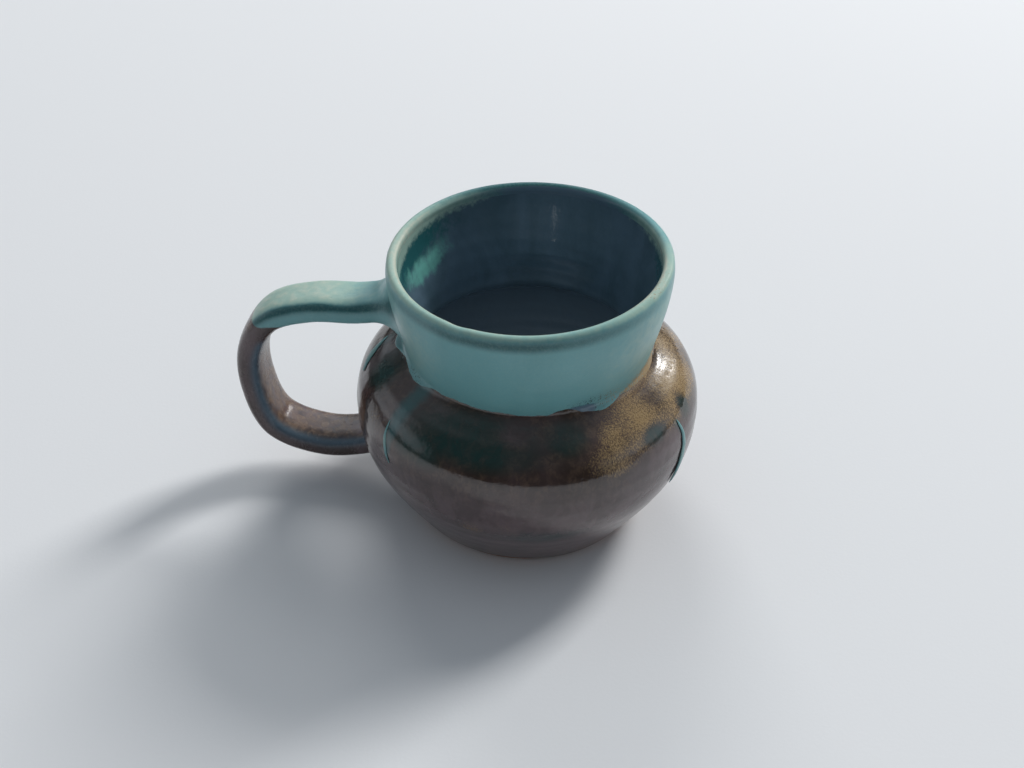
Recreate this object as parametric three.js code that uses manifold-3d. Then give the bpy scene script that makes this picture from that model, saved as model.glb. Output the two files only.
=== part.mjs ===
// A stoneware mug: a wheel-thrown pot and a pulled strap handle under three coloured glazes.
// Millimetres, +Z up. The origin is the centre of the flat foot, on the surface that the mug
// stands on, and the handle points along -X.
import * as THREE from "three";
import { mergeVertices } from "three/addons/utils/BufferGeometryUtils.js";
import Module from "manifold-3d";

// ---- Driving dimensions ----

const RIM_HEIGHT = 92.4; // crest of the lip above the table
const RIM_RADIUS = 42.6; // outside of the lip
const LIP_THICKNESS = 3.7;
const NECK_RADIUS = 37.8; // the crease between belly and collar, outside
const NECK_HEIGHT = 59;
const BELLY_RADIUS = 53.8; // widest point, outside
const BELLY_HEIGHT = 39.5;
const FOOT_RADIUS = 35.9;
const FOOT_LEAN = 1.0; // radians that the wall leans out from the table at the foot
const FOOT_BEVEL = 1.4;
const FLOOR_HEIGHT = 7; // inside of the floor above the table
const WALL = 4.7; // belly wall with both glazes

const GLAZE = 0.5; // thickness of a fired coat of glaze
const GAP = 0.3; // kept between pieces that touch
const GLAZE_LINE = 3.2; // bare clay left above the foot, along the wall
const LIP_COAT = 5; // how far the collar's glaze runs down inside the lip
const SAG = 4.2; // how much lower the collar's glaze ran under the handle

const STRAP_WIDTH = 16.6;
const STRAP_THICKNESS = 8.4;
const STRAP_FULLNESS = 2.6; // exponent of the strap's section: 2 is an ellipse
const UPPER_FLARE = [3, 5]; // how far the strap swells at the collar, sideways and up and down
const LOWER_FLARE = [3, 3.5]; // and at the belly
const FLARE_LENGTH = 13; // length of the handle over which it swells
const COLOUR_CHANGE = 0.4; // share of the handle's length that the upper glaze covers

const ROUND = 40; // sides of everything turned on the wheel
const ROW_TURN = 0.4; // a new row of faces wherever an outline has turned this many radians
const ROW_LENGTH = 8; // or after this length
const STRAP_SIDES = 16;
const STRAP_ROWS = 26;

// ---- Materials ----

const glaze = (name, color, roughness) =>
  new THREE.MeshStandardMaterial({ name, color, roughness, metalness: 0 });

const stoneware = () => glaze("stoneware", 0x8c6f5a, 0.85);
const tealGlaze = () => glaze("teal_glaze", 0x5f8284, 0.3);
const brownGlaze = () => glaze("brown_glaze", 0x2e2523, 0.15);
const navyGlaze = () => glaze("navy_glaze", 0x10181f, 0.1);

// ---- Outlines ----

// The mug's whole visible skin as one line from the foot, up the outside, over the lip and
// down the inside to the middle of the floor. x is the radius and y the height.
function makeSkin() {
  const lip = LIP_THICKNESS / 2;
  const insideNeck = NECK_RADIUS - WALL + 0.4;
  const insideBelly = BELLY_RADIUS - WALL;
  const footPull = 25.2;
  const skin = new THREE.Path();
  skin.moveTo(FOOT_RADIUS, 0);
  skin.bezierCurveTo(
    FOOT_RADIUS + footPull * Math.cos(FOOT_LEAN), footPull * Math.sin(FOOT_LEAN),
    BELLY_RADIUS, BELLY_HEIGHT - 13.1,
    BELLY_RADIUS, BELLY_HEIGHT,
  );
  skin.bezierCurveTo(
    BELLY_RADIUS, BELLY_HEIGHT + 17.1,
    NECK_RADIUS, NECK_HEIGHT - 4.3,
    NECK_RADIUS, NECK_HEIGHT,
  );
  skin.bezierCurveTo(
    NECK_RADIUS, NECK_HEIGHT + 1.6,
    RIM_RADIUS + 1.4, RIM_HEIGHT - 9,
    RIM_RADIUS, RIM_HEIGHT - lip,
  );
  skin.quadraticCurveTo(RIM_RADIUS, RIM_HEIGHT, RIM_RADIUS - lip, RIM_HEIGHT);
  skin.quadraticCurveTo(
    RIM_RADIUS - LIP_THICKNESS, RIM_HEIGHT,
    RIM_RADIUS - LIP_THICKNESS, RIM_HEIGHT - lip,
  );
  skin.bezierCurveTo(
    RIM_RADIUS - LIP_THICKNESS, RIM_HEIGHT - 10,
    insideNeck, NECK_HEIGHT + 8,
    insideNeck, NECK_HEIGHT - 2,
  );
  skin.bezierCurveTo(
    insideNeck, NECK_HEIGHT - 8,
    insideBelly, BELLY_HEIGHT + 13,
    insideBelly, BELLY_HEIGHT - 1,
  );
  skin.bezierCurveTo(
    insideBelly, BELLY_HEIGHT - 18,
    FOOT_RADIUS, FLOOR_HEIGHT,
    FOOT_RADIUS - 14, FLOOR_HEIGHT,
  );
  skin.lineTo(0, FLOOR_HEIGHT - 0.6);
  return skin;
}

const SKIN = makeSkin();
const SKIN_LENGTH = SKIN.getLength();

// A point of the skin, `distance` along it from the foot and `depth` into the clay.
function skinPoint(distance, depth) {
  const share = THREE.MathUtils.clamp(distance / SKIN_LENGTH, 0, 1);
  const point = SKIN.getPoint(share);
  const along = SKIN.getTangent(share);
  const radius = point.x - along.y * depth;
  return new THREE.Vector2(share === 1 ? 0 : Math.max(radius, 0), point.y + along.x * depth);
}

// The distance along the outside of the skin at which it reaches a height.
function distanceAtHeight(height) {
  const outside = SKIN.getCurveLengths()[2];
  let low = 0;
  let high = outside;
  for (let i = 0; i < 40; i++) {
    const middle = (low + high) / 2;
    if (skinPoint(middle, 0).y < height) low = middle;
    else high = middle;
  }
  return low;
}

// The distances along the skin at which everything turned has a row, so that the faces of one
// layer lie along those of the next.
function makeRows() {
  const rows = [0];
  const stride = 0.1;
  let turn = 0;
  let last = SKIN.getTangent(0);
  for (let distance = stride; distance < SKIN_LENGTH; distance += stride) {
    const along = SKIN.getTangent(distance / SKIN_LENGTH);
    turn += Math.abs(last.cross(along));
    last = along;
    const length = distance - rows[rows.length - 1];
    if (turn > ROW_TURN || length > ROW_LENGTH) {
      rows.push(distance);
      turn = 0;
    }
  }
  return rows;
}

const ROWS = makeRows();
const rowsBetween = (start, end) => ROWS.filter((row) => row > start && row < end);

const NECK_DISTANCE = distanceAtHeight(NECK_HEIGHT);
const LIP_DISTANCE = SKIN.getCurveLengths()[3];
const LINER_START = LIP_DISTANCE + LIP_COAT;

// Where the collar's glaze ends on the shoulder: it ran furthest under the handle.
function collarEdge(angle) {
  const sag = SAG * Math.max(0, -Math.cos(angle)) ** 14;
  return NECK_DISTANCE - 0.8 + Math.cos(angle + 1.1) + 0.5 * Math.sin(5 * angle) - sag;
}

// ---- Shapes ----

// Turns a closed or axis-to-axis outline and then moves each vertex to where `place` puts it,
// given the angle about the axis, the outline's radius and its height.
function turned(outline, sides, place) {
  const lathe = new THREE.LatheGeometry(outline, sides);
  lathe.rotateX(Math.PI / 2);
  lathe.deleteAttribute("normal");
  lathe.deleteAttribute("uv");
  const shape = mergeVertices(lathe, 1e-4);
  const position = shape.getAttribute("position");
  const vertex = new THREE.Vector3();
  for (let i = 0; i < position.count && place; i++) {
    vertex.fromBufferAttribute(position, i);
    const radius = Math.hypot(vertex.x, vertex.y);
    const angle = Math.atan2(vertex.y, vertex.x);
    vertex.copy(place(angle, radius, vertex.z));
    position.setXYZ(i, vertex.x, vertex.y, vertex.z);
  }
  return shape;
}

// An even row of numbers from `start` to `end`.
const steps = (start, end, count) =>
  Array.from({ length: count + 1 }, (_, i) => start + ((end - start) * i) / count);

// A solid of the pot's outside, filled to the lip, with its surface `depth` inside the skin.
function filledPot(depth) {
  const wall = [0, ...rowsBetween(0, LIP_DISTANCE), LIP_DISTANCE].map((d) => skinPoint(d, depth));
  const top = wall[wall.length - 1].y;
  return turned([new THREE.Vector2(0, wall[0].y), ...wall, new THREE.Vector2(0, top)], ROUND);
}

// The clay pot: a bevelled flat foot, the wall up to the lip, and the inside down to the floor.
function thrownBody() {
  const skin = [FOOT_BEVEL, ...rowsBetween(FOOT_BEVEL + 1, SKIN_LENGTH - 2), SKIN_LENGTH];
  const wall = skin.map((distance) => skinPoint(distance, GLAZE + GAP));
  const flat = wall[0].x - FOOT_BEVEL;
  return turned([new THREE.Vector2(0, 0), new THREE.Vector2(flat, 0), ...wall], ROUND);
}

// A coat of glaze on the skin between two edges, each given as a distance for every angle. A
// coat that ends in the middle of the floor closes on the axis there.
function coat(startAt, endAt) {
  const angles = steps(0, 2 * Math.PI, ROUND);
  const first = Math.max(...angles.map(startAt)) + 0.8;
  const last = Math.min(...angles.map(endAt)) - 0.8;
  const rows = [startAt, ...rowsBetween(first, last).map((row) => () => row)];
  const closes = endAt(0) === SKIN_LENGTH;
  if (!closes) rows.push(endAt);
  const outside = rows.map((_, number) => new THREE.Vector2(2, number));
  const inside = rows.map((_, number) => new THREE.Vector2(1, number)).reverse();
  const glazedAxis = new THREE.Vector2(0, rows.length);
  const clayAxis = new THREE.Vector2(0, rows.length + 1);
  const outline = closes
    ? [clayAxis, ...inside, ...outside, glazedAxis]
    : [...outside, ...inside, outside[0]];
  return turned(outline, ROUND, (angle, layer, number) => {
    const row = rows[Math.round(number)];
    const distance = row ? row(angle) : SKIN_LENGTH;
    const onClay = row ? layer < 1.5 : number > rows.length + 0.5;
    const point = skinPoint(distance, onClay ? GLAZE : 0);
    return new THREE.Vector3(point.x * Math.cos(angle), point.x * Math.sin(angle), point.y);
  });
}

// ---- Handle ----

// The middle of the strap, from inside the collar's wall round to inside the belly's wall.
const HANDLE_LINE = new THREE.CatmullRomCurve3(
  [
    [37, 70.9], [52, 67.5], [67, 66.2], [80.6, 60.9], [87.8, 49],
    [88.3, 34.2], [82.6, 18.6], [67, 13], [52, 15.4], [44, 19.6],
  ].map(([reach, height]) => new THREE.Vector3(-reach, 0, height)),
);
const HANDLE_LENGTH = HANDLE_LINE.getLength();

const handleCentre = (share) => HANDLE_LINE.getPointAt(THREE.MathUtils.clamp(share, 0, 1));

// A point of the strap's surface, or `depth` inside it. `share` runs along the handle.
function strapPoint(angle, share, depth) {
  const centre = handleCentre(share);
  const along = HANDLE_LINE.getTangentAt(THREE.MathUtils.clamp(share, 0, 1));
  const across = new THREE.Vector3(-along.z, 0, along.x);
  const nearness = (length, buried) =>
    Math.max(0, 1 - Math.max(0, length - buried) / FLARE_LENGTH) ** 3;
  const atCollar = nearness(share * HANDLE_LENGTH, 3);
  const atBelly = nearness((1 - share) * HANDLE_LENGTH, 5);
  const [sideways, upright] = [0, 1].map((i) => UPPER_FLARE[i] * atCollar + LOWER_FLARE[i] * atBelly);
  const full = (value) => Math.sign(value) * Math.abs(value) ** (2 / STRAP_FULLNESS);
  const side = (STRAP_WIDTH / 2 + sideways - depth) * full(Math.cos(angle));
  const rise = (STRAP_THICKNESS / 2 + upright - depth) * full(Math.sin(angle));
  return centre.addScaledVector(across, rise).add(new THREE.Vector3(0, side, 0));
}

// The shares of the handle's length at which it has rows, between two of them.
const strapRows = (start, end) =>
  [start, ...steps(0, 1, STRAP_ROWS).filter((row) => row > start + 0.01 && row < end - 0.01), end];

// A solid length of the strap, `depth` inside its surface.
function strapLength(start, end, depth) {
  const side = strapRows(start, end).map((share) => new THREE.Vector2(1, share));
  const outline = [new THREE.Vector2(0, start), ...side, new THREE.Vector2(0, end)];
  return turned(outline, STRAP_SIDES, (angle, radius, share) =>
    radius < 0.5 ? handleCentre(share) : strapPoint(angle, share, depth),
  );
}

// A hollow sleeve of glaze on a length of the strap.
function strapCoat(start, end) {
  const rows = strapRows(start, end);
  const outside = rows.map((share) => new THREE.Vector2(2, share));
  const inside = rows.map((share) => new THREE.Vector2(1, share)).reverse();
  return turned([...outside, ...inside, outside[0]], STRAP_SIDES, (angle, layer, share) =>
    strapPoint(angle, share, layer > 1.5 ? 0 : GLAZE),
  );
}

// A run of glaze that stands proud on the belly: a long drop from `start` down to `end` along
// the skin, turning from one angle to another on its way.
function glazeRun({ start, end, fromAngle, toAngle, width, height }) {
  const bead = new THREE.SphereGeometry(1, 12, 12).rotateX(Math.PI / 2);
  bead.deleteAttribute("normal");
  bead.deleteAttribute("uv");
  const shape = mergeVertices(bead, 1e-4);
  const position = shape.getAttribute("position");
  for (let i = 0; i < position.count; i++) {
    const share = (1 - position.getZ(i)) / 2;
    const lift = position.getX(i);
    const distance = start + (end - start) * share;
    const swell = 0.55 + 0.45 * share;
    const proud = GAP + (height * swell * (lift + 1)) / 2;
    const point = skinPoint(distance, -proud);
    const drift = (position.getY(i) * width * swell) / 2 / point.x;
    const angle = fromAngle + (toAngle - fromAngle) * share + drift;
    position.setXYZ(i, point.x * Math.cos(angle), point.x * Math.sin(angle), point.y);
  }
  return shape;
}

// Where the upper glaze ran down over the lower one. Angles are in radians from +X.
const RUNS = [
  { name: "left_glaze_run", start: NECK_DISTANCE - 4.5, end: NECK_DISTANCE - 28,
    fromAngle: -2.43, toAngle: -2.31, width: 4, height: 0.8 },
  { name: "rear_glaze_run", start: NECK_DISTANCE - 7, end: NECK_DISTANCE - 19,
    fromAngle: -3.07, toAngle: -2.96, width: 4, height: 0.7 },
  { name: "right_glaze_run", start: NECK_DISTANCE - 17, end: NECK_DISTANCE - 43,
    fromAngle: -0.36, toAngle: -0.44, width: 3.6, height: 1.1 },
];

// ---- Cuts ----

const wasm = await Module();
wasm.setup();

function toSolid(shape) {
  const vertProperties = shape.getAttribute("position").array;
  const triVerts = new Uint32Array(shape.index.array);
  return new wasm.Manifold(new wasm.Mesh({ numProp: 3, vertProperties, triVerts }));
}

function toShape(solid) {
  const { vertProperties, triVerts } = solid.getMesh();
  const shape = new THREE.BufferGeometry();
  shape.setAttribute("position", new THREE.BufferAttribute(vertProperties, 3));
  shape.setIndex(new THREE.BufferAttribute(triVerts, 1));
  return shape;
}

const cut = (shape, ...tools) =>
  toShape(tools.reduce((rest, tool) => rest.subtract(toSolid(tool)), toSolid(shape)));

// ---- Assembly ----

const mug = new THREE.Group();

function add(name, shape, material) {
  shape.computeVertexNormals();
  const mesh = new THREE.Mesh(shape, material);
  mesh.name = name;
  mug.add(mesh);
}

const jointShare = (FLARE_LENGTH + 4) / HANDLE_LENGTH;
const gapShare = GAP / HANDLE_LENGTH;
const clayDepth = GLAZE + GAP;

const upperRoot = strapLength(0, jointShare, clayDepth);
const lowerRoot = strapLength(1 - jointShare, 1, clayDepth);
const glazedUpperRoot = strapLength(0, jointShare, 0);
const glazedLowerRoot = strapLength(1 - jointShare, 1, 0);
const clayPot = filledPot(clayDepth - GAP);
const glazedPot = filledPot(-GAP);

add("thrown_body", thrownBody(), stoneware());
add("upper_handle_joint", cut(upperRoot, clayPot), stoneware());
add("lower_handle_joint", cut(lowerRoot, clayPot), stoneware());
add(
  "pulled_handle",
  strapLength(jointShare + gapShare, 1 - jointShare - gapShare, clayDepth),
  stoneware(),
);

const bellyCoat = coat(() => GLAZE_LINE, (angle) => collarEdge(angle) - GAP / 2);
const collarCoat = coat((angle) => collarEdge(angle) + GAP / 2, () => LINER_START - GAP / 2);
add("belly_glaze", cut(bellyCoat, glazedLowerRoot), brownGlaze());
add("collar_glaze", cut(collarCoat, glazedUpperRoot), tealGlaze());
add("liner_glaze", coat(() => LINER_START + GAP / 2, () => SKIN_LENGTH), navyGlaze());
add("handle_teal_glaze", cut(strapCoat(0, COLOUR_CHANGE - gapShare), glazedPot), tealGlaze());
add("handle_brown_glaze", cut(strapCoat(COLOUR_CHANGE, 1), glazedPot), brownGlaze());

for (const run of RUNS) add(run.name, glazeRun(run), tealGlaze());

export default mug;
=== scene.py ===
"""A hand-thrown stoneware mug with a pulled handle, glazed teal over brown with a navy liner."""

import math
from bisect import bisect_right
from itertools import accumulate
from typing import NamedTuple

import bmesh
import bpy
from mathutils import Matrix, Vector, noise
from mathutils.geometry import interpolate_bezier


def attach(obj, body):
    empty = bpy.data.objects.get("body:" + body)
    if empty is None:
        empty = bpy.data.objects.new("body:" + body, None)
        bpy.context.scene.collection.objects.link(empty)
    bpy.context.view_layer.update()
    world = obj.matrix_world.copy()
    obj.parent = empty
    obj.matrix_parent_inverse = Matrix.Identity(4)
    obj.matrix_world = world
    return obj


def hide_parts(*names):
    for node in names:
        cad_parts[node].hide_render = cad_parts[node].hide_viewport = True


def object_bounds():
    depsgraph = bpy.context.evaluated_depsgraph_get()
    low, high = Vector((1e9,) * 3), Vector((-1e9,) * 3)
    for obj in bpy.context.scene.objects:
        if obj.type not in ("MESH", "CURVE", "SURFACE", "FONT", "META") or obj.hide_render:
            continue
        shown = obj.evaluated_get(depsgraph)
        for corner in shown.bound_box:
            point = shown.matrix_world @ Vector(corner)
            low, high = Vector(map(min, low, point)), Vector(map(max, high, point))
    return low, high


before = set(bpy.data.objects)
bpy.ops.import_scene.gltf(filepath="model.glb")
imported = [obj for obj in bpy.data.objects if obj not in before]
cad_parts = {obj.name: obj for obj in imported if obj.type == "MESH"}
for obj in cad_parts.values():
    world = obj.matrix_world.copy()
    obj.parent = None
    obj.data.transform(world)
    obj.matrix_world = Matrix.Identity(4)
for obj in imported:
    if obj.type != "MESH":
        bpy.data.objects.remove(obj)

bl_info = {
    "name": "Thrown Mug",
    "version": (1, 0, 0),
    "blender": (4, 5, 0),
    "location": "3D View > Sidebar > Mug",
    "description": "Makes a glazed stoneware mug around its packed parts",
    "category": "Add Mesh",
}

MM = 0.001
CAD_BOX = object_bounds()
BODY = "root"


# ---- Sizes and colours ----


def length(name, description, millimetres):
    return bpy.props.FloatProperty(
        name=name, description=description, default=millimetres * MM, unit="LENGTH", precision=5
    )


def colour(name, description, red, green, blue):
    return bpy.props.FloatVectorProperty(
        name=name, description=description, default=(red, green, blue), subtype="COLOR", size=3,
        min=0, max=1,
    )


class MugSizes(bpy.types.PropertyGroup):
    """The driving sizes of the pot, its glazes and its handle."""

    rim_height: length("Rim height", "Crest of the lip above the table", CAD_BOX[1][2] / MM)
    rim_radius: length("Rim radius", "Outside of the lip", 42.6)
    lip: length("Lip", "Thickness of the lip", 3.7)
    neck_radius: length("Neck radius", "The crease between belly and collar", 37.8)
    neck_height: length("Neck height", "Height of that crease", 60.5)
    belly_radius: length("Belly radius", "Widest point of the pot", CAD_BOX[1][0] / MM)
    belly_height: length("Belly height", "Height of the widest point", 39.5)
    foot_radius: length("Foot radius", "Outside of the pot at the table", 35.9)
    floor_height: length("Floor height", "Inside of the floor above the table", 7)
    wall: length("Wall", "Belly wall with both its glazes", 4.7)
    glaze: length("Glaze", "Thickness of a fired coat", 0.5)
    glaze_line: length("Glaze line", "Bare clay left above the foot", 3.2)
    lip_coat: length("Lip coat", "How far the collar's glaze runs down inside the lip", 5)
    rim_tilt: length("Rim tilt", "How much lower the lip is over the handle", 2.6)
    ring_pitch: length("Ring pitch", "From one throwing ring to the next", 5.5)
    ring_depth: length("Ring depth", "Depth of a throwing ring", 0.12)
    strap_width: length("Strap width", "Width of the handle", 16.6)
    strap_thickness: length("Strap thickness", "Thickness of the handle", 8.4)
    fillet: length("Fillet", "Radius where the handle flows into the pot", 9)
    fullness: bpy.props.FloatProperty(
        name="Fullness", description="How square the strap is: 2 is an ellipse", default=3, min=2, max=8
    )


class MugColours(bpy.types.PropertyGroup):
    """The colours of the clay and of the fired glazes."""

    clay: colour("Clay", "Bare fired stoneware", 0.30, 0.17, 0.10)
    toasted: colour("Toasted clay", "Clay flashed by the glaze beside it", 0.34, 0.12, 0.05)
    teal: colour("Teal", "The collar's glaze", 0.165, 0.40, 0.42)
    # This dark teal is also painted shade: under the lip, on the lip at the back and along the handle's
    # front edge.
    deep_teal: colour("Deep teal", "The same glaze where it pools", 0.022, 0.115, 0.125)
    # Sage is also painted sheen on the collar's sides and a painted highlight on the handle's top.
    sage: colour("Sage", "The same glaze where it breaks over an edge", 0.34, 0.50, 0.43)
    cream: colour("Cream", "The same glaze at its thinnest, on the lip", 0.58, 0.60, 0.50)
    brown: colour("Brown", "The belly's iron glaze", 0.040, 0.025, 0.019)
    green_black: colour("Green black", "The iron glaze where teal has mixed with it", 0.003, 0.038, 0.034)
    gold: colour("Gold", "Crystals in the iron glaze where it is thin", 0.33, 0.22, 0.10)
    # Plum is also painted reflection of the pale floor, low on the belly and on its right.
    plum: colour("Plum", "The iron glaze where it is matt and mauve", 0.115, 0.078, 0.085)
    # Tan is also painted reflection of the floor, on the handle's inner face.
    tan: colour("Tan", "The iron glaze where it is starved", 0.19, 0.125, 0.085)
    navy: colour("Navy", "The liner glaze", 0.115, 0.185, 0.245)
    # This paler navy is painted light, low down inside the mug.
    milky_navy: colour("Milky navy", "The liner glaze where it is thick", 0.28, 0.35, 0.41)
    turquoise: colour("Turquoise", "Rutile splash inside the mug", 0.16, 0.46, 0.41)
    floor: colour("Floor", "The table that the mug stands on", 0.80, 0.815, 0.84)


# ---- Outlines ----


def smooth(low, high, value):
    """0 below `low`, 1 above `high`, and an even curve between them."""
    share = min(1.0, max(0.0, (value - low) / (high - low)))
    return share * share * (3 - 2 * share)


def bump(centre, half_width, value):
    """1 at the centre, falling evenly to 0 at half_width on both sides."""
    return 1 - smooth(0, half_width, abs(value - centre))


def turn_between(angle, other):
    """The angle from `other` to `angle`, in degrees from -180 to 180."""
    return (angle - other + 180) % 360 - 180


def distances_along(points):
    """How far along a line each of its points lies."""
    steps = ((end - start).length for start, end in zip(points, points[1:]))
    return list(accumulate(steps, initial=0.0))


class Outline:
    """A curve in (radius, height), measured by the distance along it.

    It is a chain of Bezier spans: a knot, two handles, a knot, two handles, and so on.
    """

    STEP = 0.1 * MM

    def __init__(self, chain):
        knots = [Vector(pair) for pair in chain]
        points = []
        for i in range(0, len(knots) - 1, 3):
            points += interpolate_bezier(*knots[i:i + 4], 200)[bool(points):]
        distances = distances_along(points)
        self.length = distances[-1]
        self.points = []
        index = 0
        for number in range(int(self.length / self.STEP) + 1):
            distance = number * self.STEP
            while index < len(points) - 2 and distances[index + 1] < distance:
                index += 1
            share = (distance - distances[index]) / (distances[index + 1] - distances[index])
            self.points.append(points[index].lerp(points[index + 1], share))

    def at(self, distance):
        """The point at a distance and the unit direction that leaves the surface there."""
        place = min(max(distance / self.STEP, 0), len(self.points) - 1.001)
        index = int(place)
        point = self.points[index].lerp(self.points[index + 1], place - index)
        before = self.points[max(index - 4, 0)]
        after = self.points[min(index + 5, len(self.points) - 1)]
        along = (after - before).normalized()
        return point, Vector((along.y, -along.x))

    def reaches(self, height, within):
        """The first distance up to `within` at which the line reaches a height."""
        count = int(within / self.STEP)
        return next(i for i in range(count) if self.points[i].y >= height) * self.STEP


class Pot:
    """The skin of the pot, from the foot, up the outside, over the lip and down to the floor."""

    def __init__(self, size):
        self.size = size
        lip = size.lip / 2
        rim, top = size.rim_radius, size.rim_height
        neck, crease = size.neck_radius, size.neck_height
        belly, middle = size.belly_radius, size.belly_height
        inner_neck = neck - size.wall + 0.4 * MM
        inner_belly = belly - size.wall
        foot = size.foot_radius
        lean = Vector((math.cos(1.0), math.sin(1.0))) * 25.2 * MM
        floor = size.floor_height
        outside = [
            (foot, 0), (foot + lean.x, lean.y), (belly, middle - 13.1 * MM),
            (belly, middle), (belly, middle + 17.1 * MM), (neck, crease - 4.3 * MM),
            (neck, crease), (neck, crease + 1.6 * MM), (rim + 1.4 * MM, top - 9 * MM),
            (rim, top - lip),
        ]
        curl = 0.55 * lip
        outer_lip = [(rim, top - lip + curl), (rim - lip + curl, top), (rim - lip, top)]
        inner_lip = [
            (rim - lip - curl, top), (rim - size.lip, top - lip + curl), (rim - size.lip, top - lip)
        ]
        inside = [
            (rim - size.lip, top - 10 * MM), (inner_neck, crease + 8 * MM),
            (inner_neck, crease - 2 * MM), (inner_neck, crease - 8 * MM),
            (inner_belly, middle + 13 * MM), (inner_belly, middle - 1 * MM),
            (inner_belly, middle - 18 * MM), (foot, floor), (foot - 14 * MM, floor),
            (foot - 20 * MM, floor), (10 * MM, floor - 0.6 * MM), (0, floor - 0.6 * MM),
        ]
        self.outline = Outline(outside + outer_lip + inner_lip + inside)
        to_lip = Outline(outside).length
        self.crest = to_lip + Outline(outside[-1:] + outer_lip).length
        self.neck = self.outline.reaches(crease, to_lip)
        self.liner = self.crest + size.lip_coat
        self.floor = self.outline.length

    def outside_at(self, height):
        """The distance along the skin at which its outside reaches a height."""
        return self.outline.reaches(height, self.crest)

    def relief(self, distance, angle):
        """How far the skin lies inside its outline: throwing rings, and the potter's hand."""
        size = self.size
        turn = math.radians(angle)
        phase = distance / size.ring_pitch * math.tau + turn
        drift = noise.noise(Vector((math.cos(turn), math.sin(turn), distance * 60)))
        ring = 0.5 - 0.5 * math.cos(phase + 1.6 * drift)
        inside = smooth(self.crest + 6 * MM, self.crest + 20 * MM, distance)
        foot = smooth(6 * MM, 40 * MM, distance)
        lip = smooth(4 * MM, 26 * MM, abs(self.crest - distance))
        collar = 1 - 0.8 * bump(self.neck + 14 * MM, 18 * MM, distance)
        patchy = 0.35 + 0.65 * smooth(-0.3, 0.4, drift)
        rings = size.ring_depth * ring * foot * lip * collar * patchy * (1 + 0.3 * inside)
        hand = Vector((math.cos(turn) * 1.1, math.sin(turn) * 1.1, distance * 25))
        uneven = 0.28 * MM * (0.5 + 0.5 * noise.noise(hand)) * foot
        return rings + uneven

    def place(self, distance, angle, depth):
        """A point of the skin, or `depth` into the clay from it. The angle is in degrees."""
        point, out = self.outline.at(distance)
        sunk = depth + self.relief(distance, angle)
        turn = math.radians(angle)
        radius = max(point.x - out.x * sunk, 0)
        near_lip = 1 - smooth(0, 34 * MM, abs(distance - self.crest))
        height = point.y - out.y * sunk - near_lip * self.lip_dip(angle)
        if distance >= self.floor - 0.05 * MM:
            radius = 0
        return Vector((radius * math.cos(turn), radius * math.sin(turn), height))

    def lip_dip(self, angle):
        """How far the lip falls below its highest point, with the small nick at its front."""
        turn = math.radians(angle)
        tilt = self.size.rim_tilt * (0.5 - 0.5 * math.cos(turn - 0.45))
        wave = 0.15 - 0.15 * math.cos(2 * turn + 1.1)
        nick = bump(0, 7, turn_between(angle, -112)) * 0.3
        return tilt + (wave + nick) * MM

    def collar_edge(self, angle):
        """The distance at which the teal stops on the shoulder."""
        turn = math.radians(angle)
        sweep = 0.9 * math.cos(turn + 1.25) - 0.5 * math.cos(2 * turn + 0.4)
        lift = 1.8 * bump(0, 9, turn_between(angle, -66)) - 1.6 * bump(0, 12, turn_between(angle, -48))
        sag = -1.5 * bump(0, 14, turn_between(angle, -140)) - 2.4 * bump(0, 16, turn_between(angle, -174))
        ragged = 0
        for scale, depth in ((5, 0.5), (14, 0.3), (40, 0.14)):
            ragged += depth * noise.noise(Vector((math.cos(turn), math.sin(turn), 3.7)) * scale)
        return self.neck + (sweep + lift + sag + ragged - 1.9) * MM


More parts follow.
